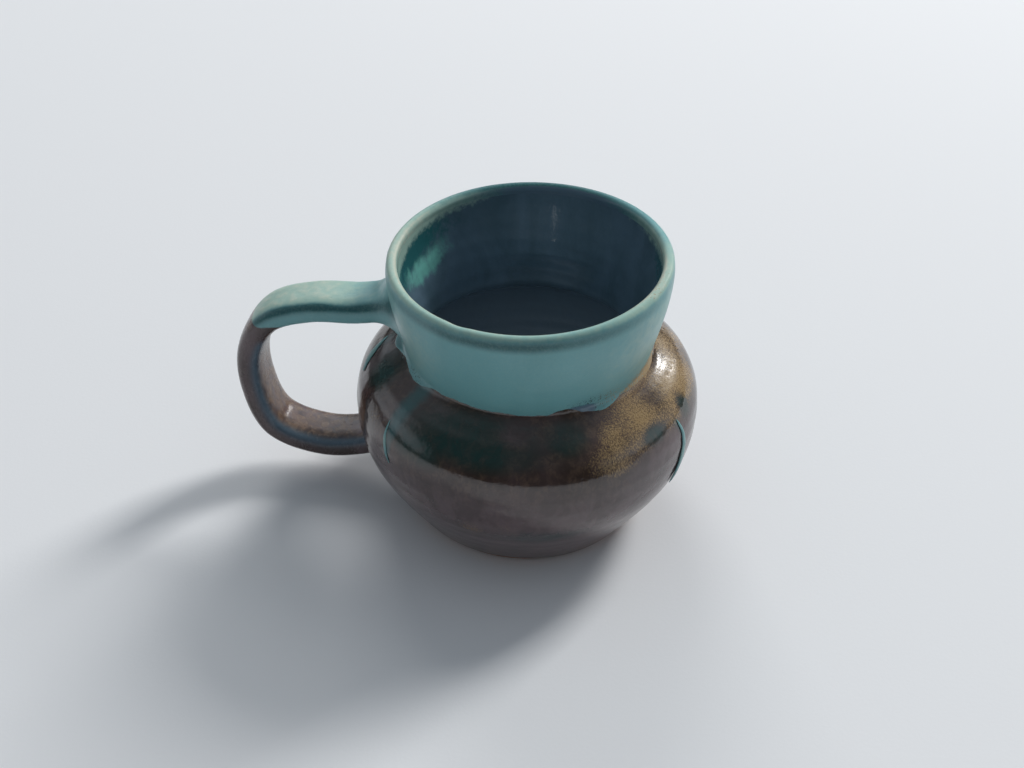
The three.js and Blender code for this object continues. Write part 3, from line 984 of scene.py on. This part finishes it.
class MUG_OT_thrown_pot(bpy.types.Operator):
    """Turns the bare clay pot: flat trimmed foot, wall, lip and floor"""

    bl_idname = "mug.thrown_pot"
    bl_label = "Thrown pot"

    def execute(self, context):
        size = sizes()
        pot = Pot(size)
        under_glaze, bare_swell = 0.3 * MM, 0.35 * MM
        depth = size.glaze + under_glaze
        bevel = 1.4 * MM
        start, _ = pot.outline.at(bevel)
        flat = start.x - depth - bevel
        rings = 30
        rows = 150
        outline = [(0, 0)] + [(1, -rings + i) for i in range(1, rings + 1)]
        outline += [(2, row) for row in range(rows)] + [(0, rows)]
        bm = turned(outline, 192, closed=False)

        def place(turn, layer, row):
            angle = math.degrees(turn)
            if layer < 0.5:
                return Vector((0, 0, 0)) if row < 1 else pot.place(pot.floor, 0, depth)
            if layer < 1.5:
                radius = flat * (row + rings) / rings
                groove = 0.09 * MM * (0.5 + 0.5 * math.sin(radius / (1.1 * MM) * math.tau + turn))
                rim = smooth(0, 4 * MM, flat - radius)
                return Vector((radius * math.cos(turn), radius * math.sin(turn), groove * rim))
            distance = bevel + (pot.floor - bevel) * row / rows
            bare = 1 - smooth(size.glaze_line, size.glaze_line + 2 * MM, distance)
            return pot.place(distance, angle, depth - bare_swell * bare)

        settle(bm, place)
        finish_piece(bm, "bare_pot", "bare stoneware", "stoneware", "thrown_body")
        return {"FINISHED"}


class MUG_OT_belly_glaze(bpy.types.Operator):
    """Coats the belly with brown iron glaze, down to the bare foot"""

    bl_idname = "mug.belly_glaze"
    bl_label = "Belly glaze"

    def execute(self, context):
        size = sizes()
        pot = Pot(size)

        def start(angle):
            turn = math.radians(angle)
            wave = 0.5 * math.sin(turn * 3 + 1) + 0.3 * math.sin(turn * 7)
            return size.glaze_line + wave * MM

        under_teal = 1.3 * MM
        bm = coat(pot, start, lambda a: pot.collar_edge(a) + under_teal, paint_belly)
        finish_piece(bm, "iron_coat", "iron gloss", "brown_glaze", "belly_glaze")
        return {"FINISHED"}


class MUG_OT_collar_glaze(bpy.types.Operator):
    """Coats the collar with teal, over the lip and a little way down inside"""

    bl_idname = "mug.collar_glaze"
    bl_label = "Collar glaze"

    def execute(self, context):
        pot = Pot(sizes())
        over_navy = 0.6 * MM
        bm = coat(pot, pot.collar_edge, lambda a: pot.liner + over_navy, paint_collar(pot),
                  row_height=0.5 * MM, feather=3 * MM, bead=0.13 * MM)
        finish_piece(bm, "teal_coat", "teal satin", "teal_glaze", "collar_glaze")
        return {"FINISHED"}


class MUG_OT_liner_glaze(bpy.types.Operator):
    """Lines the inside with navy glaze, down to the middle of the floor"""

    bl_idname = "mug.liner_glaze"
    bl_label = "Liner glaze"

    def execute(self, context):
        pot = Pot(sizes())
        under_teal = 2.4 * MM
        bm = coat(pot, lambda a: pot.liner - under_teal, lambda a: pot.floor, paint_liner(pot),
                  columns=256, row_height=0.7 * MM, roll=3 * MM)
        finish_piece(bm, "navy_coat", "navy gloss", "navy_glaze", "liner_glaze")
        return {"FINISHED"}


class MUG_OT_handle_glaze(bpy.types.Operator):
    """Coats the strap handle, teal above and brown below, and fillets it into the pot"""

    bl_idname = "mug.handle_glaze"
    bl_label = "Handle glaze"

    def execute(self, context):
        size = sizes()
        handle = Handle(size, Pot(size))
        upper_fillet, lower_fillet = 0.07, 0.94
        shares = evenly(0, upper_fillet, 110) + evenly(upper_fillet, lower_fillet, 200)
        shares += evenly(lower_fillet, 1, 80) + [1]
        outline = [(2, share) for share in shares]
        outline += [(1, share) for share in reversed([*shares[:-1:5], shares[-1]])]
        bm = turned(outline, 72)
        settle(bm, lambda turn, layer, row: handle.place(turn, row, 0 if layer > 1.5 else size.glaze),
               paint_handle)
        finish_piece(bm, "handle_coat", "handle satin", "teal_glaze",
                     "handle_teal_glaze", "handle_brown_glaze")
        return {"FINISHED"}


class MUG_OT_pulled_clay(bpy.types.Operator):
    """Pulls the clay of the handle, which the glaze covers, in one with its two joints"""

    bl_idname = "mug.pulled_clay"
    bl_label = "Pulled clay"

    def execute(self, context):
        size = sizes()
        handle = Handle(size, Pot(size))
        rows = 60
        outline = [(0, 0)] + [(1, row / rows) for row in range(rows + 1)] + [(0, 1)]
        bm = turned(outline, 32, closed=False)
        inside = size.glaze + 0.1 * MM
        settle(bm, lambda turn, layer, row: handle.place(turn, row, inside) if layer > 0.5
               else handle.centre(row)[0])
        finish_piece(bm, "handle_clay", "bare stoneware", "stoneware",
                     "pulled_handle", "upper_handle_joint", "lower_handle_joint")
        return {"FINISHED"}


class MUG_OT_glaze_runs(bpy.types.Operator):
    """Lets three drops of teal run down over the brown belly"""

    bl_idname = "mug.glaze_runs"
    bl_label = "Glaze runs"

    def execute(self, context):
        pot = Pot(sizes())
        self.run(pot, "left_glaze_run", (-136, 51), (-132, 38.5), -1, width=2.2, height=0.25)
        self.run(pot, "rear_glaze_run", (-180, 55.8), (-168, 49.5), 0, width=6.5, height=0.5)
        self.run(pot, "right_glaze_run", (-22, 49.5), (-25, 27), 3, width=4.2, height=1.0)
        return {"FINISHED"}

    def run(self, pot, node, top, foot, bow, width, height):
        """One drop from `top` to `foot`, each an angle and a height in millimetres."""
        start, end = (pot.outside_at(place[1] * MM) for place in (top, foot))
        bm = bmesh.new()
        bmesh.ops.create_uvsphere(bm, u_segments=24, v_segments=40, radius=1)
        masks = bm.verts.layers.float_color.new("paint")
        for vertex in bm.verts:
            lift, across, row = vertex.co
            share = (1 - row) / 2
            full = 0.35 + 0.65 * share ** 1.5
            wavy = noise.noise(Vector((share * 6, lift, top[0]))) * 0.12
            angle = top[0] + (foot[0] - top[0]) * share + bow * math.sin(math.pi * share)
            proud = (height * full * (lift + 0.75) / 1.75 + 0.04) * MM
            half_width = width * MM * full * (0.5 + wavy)
            distance = start + (end - start) * share
            radius = max(pot.outline.at(distance)[0].x, 1 * MM)
            angle += math.degrees(half_width * across / radius)
            vertex.co = pot.place(distance, angle, -proud)
            vertex[masks] = paint_run(row)
        finish_piece(bm, node.replace("glaze_run", "run"), "teal satin", "teal_glaze", node)


class MUG_OT_stage(bpy.types.Operator):
    """Sets the table, the window, the soft light of the room and the camera"""

    bl_idname = "mug.stage"
    bl_label = "Stage"

    def execute(self, context):
        scene = context.scene
        scene.view_settings.view_transform = "Standard"
        self.floor(scene)
        self.window(scene, "window", azimuth=52, elevation=38, size=(0.7, 1.25), power=78)
        self.window(scene, "far_window", azimuth=108, elevation=40, size=(1.25, 1.25), power=25)
        self.window(scene, "pane", azimuth=56, elevation=23, size=(0.2, 0.45), power=7, mirrored=True)
        self.room(scene)
        self.camera(scene)
        return {"FINISHED"}

    def floor(self, scene):
        bm = bmesh.new()
        bmesh.ops.create_circle(bm, cap_ends=True, segments=128, radius=3)
        mesh = bpy.data.meshes.new("table")
        bm.to_mesh(mesh)
        bm.free()
        table = bpy.data.objects.new("table", mesh)
        material, tree, place = fresh_material("table_cloth")
        weave = tree.noise(place, 900.0, 2.0)
        shade(tree, scene.mug_colours.floor, 0.9, weave, 0.15, 0.2 * MM)
        mesh.materials.append(material)
        scene.collection.objects.link(table)

    def window(self, scene, name, azimuth, elevation, size, power, mirrored=False):
        """A window that only lights matt surfaces or, if mirrored, only shows in glossy ones."""
        light = bpy.data.lights.new(name, "AREA")
        light.shape = "RECTANGLE"
        light.size, light.size_y = size
        light.energy = power
        light.color = (1.0, 0.985, 0.96)
        lamp = bpy.data.objects.new(name, light)
        turn, rise = math.radians(azimuth), math.radians(elevation)
        direction = Vector((
            math.cos(turn) * math.cos(rise), math.sin(turn) * math.cos(rise), math.sin(rise)
        ))
        distance, middle = 3.2, Vector((0, 0, 0.04))
        lamp.location = direction * distance + middle
        lamp.rotation_euler = direction.to_track_quat("Z", "Y").to_euler()
        lamp.visible_camera = False
        lamp.visible_diffuse = not mirrored
        lamp.visible_glossy = mirrored
        scene.collection.objects.link(lamp)

    def room(self, scene):
        """The room's light: an even fill, and what glossy glaze mirrors of its walls and ceiling."""
        world = bpy.data.worlds.new("room")
        world.use_nodes = True
        tree = Tree(world.node_tree)
        world.node_tree.nodes.clear()
        direction = tree.add("ShaderNodeTexCoord").outputs["Generated"]
        parts = tree.add("ShaderNodeSeparateXYZ", {0: direction}).outputs
        ceiling = tree.ramp(parts["Z"], 0.0, 1.0, 0.05, 0.34)
        ceiling = tree.times(ceiling, tree.ramp(parts["Y"], -0.4, 0.4, 0.35, 1.0))
        bright_wall = tree.ramp(parts["Y"], 0.4, 0.85, 0.0, 1.1)
        bright_wall = tree.times(bright_wall, tree.ramp(parts["Z"], 0.05, 0.45))
        sideways = tree.math("ABSOLUTE", parts["X"])
        side_walls = tree.ramp(sideways, 0.72, 0.97, 0.0, 0.75)
        side_walls = tree.times(side_walls, tree.ramp(parts["Z"], 0.0, 0.2))
        mirrored = tree.plus(tree.plus(ceiling, bright_wall), side_walls)
        fill = tree.ramp(parts["Z"], 0.0, 0.8, 0.16, 0.36)
        ray = tree.add("ShaderNodeLightPath").outputs
        strength = tree.blend(ray["Is Glossy Ray"], fill, mirrored)
        strength = tree.blend(ray["Is Camera Ray"], strength, 0.80)
        light = tree.add(
            "ShaderNodeBackground", {"Color": (0.84, 0.92, 1.0), "Strength": strength}
        )
        output = tree.add("ShaderNodeOutputWorld")
        tree.set(output.inputs["Surface"], light.outputs[0])
        scene.world = world

    def camera(self, scene):
        lens = bpy.data.cameras.new("camera")
        lens.sensor_width = 36
        lens.lens = 49.2
        lens.clip_start = 0.01
        eye = bpy.data.objects.new("camera", lens)
        turn, rise = math.radians(8.0), math.radians(38.04)
        back = Vector((0, -math.cos(rise), math.sin(rise)))
        distance = 440.6 * MM
        target = Vector((-4.77, 0, 42.11)) * MM
        spin = Matrix.Rotation(turn, 4, "Z")
        tip = Matrix.Rotation(math.pi / 2 - rise, 4, "X")
        roll = Matrix.Rotation(math.radians(0.78), 4, "Z")
        eye.matrix_world = spin @ Matrix.Translation(target + back * distance) @ tip @ roll
        scene.collection.objects.link(eye)
        scene.camera = eye


class MUG_PT_panel(bpy.types.Panel):
    """The mug's sizes, colours and pieces"""

    bl_idname = "MUG_PT_panel"
    bl_label = "Thrown Mug"
    bl_space_type = "VIEW_3D"
    bl_region_type = "UI"
    bl_category = "Mug"

    def draw(self, context):
        for operator in OPERATORS:
            self.layout.operator(operator.bl_idname)
        for group in (context.scene.mug_sizes, context.scene.mug_colours):
            column = self.layout.column()
            for name in group.__annotations__:
                column.prop(group, name)


OPERATORS = (
    MUG_OT_thrown_pot,
    MUG_OT_belly_glaze,
    MUG_OT_collar_glaze,
    MUG_OT_liner_glaze,
    MUG_OT_pulled_clay,
    MUG_OT_handle_glaze,
    MUG_OT_glaze_runs,
    MUG_OT_stage,
)
CLASSES = (MugSizes, MugColours, *OPERATORS, MUG_PT_panel)


def register():
    for kind in CLASSES:
        bpy.utils.register_class(kind)
    bpy.types.Scene.mug_sizes = bpy.props.PointerProperty(type=MugSizes)
    bpy.types.Scene.mug_colours = bpy.props.PointerProperty(type=MugColours)


def unregister():
    del bpy.types.Scene.mug_colours
    del bpy.types.Scene.mug_sizes
    for kind in reversed(CLASSES):
        bpy.utils.unregister_class(kind)


def main():
    register()
    bpy.ops.mug.thrown_pot()
    bpy.ops.mug.belly_glaze()
    bpy.ops.mug.collar_glaze()
    bpy.ops.mug.liner_glaze()
    bpy.ops.mug.pulled_clay()
    bpy.ops.mug.handle_glaze()
    bpy.ops.mug.glaze_runs()
    bpy.ops.mug.stage()


if __name__ == "__main__":
    main()
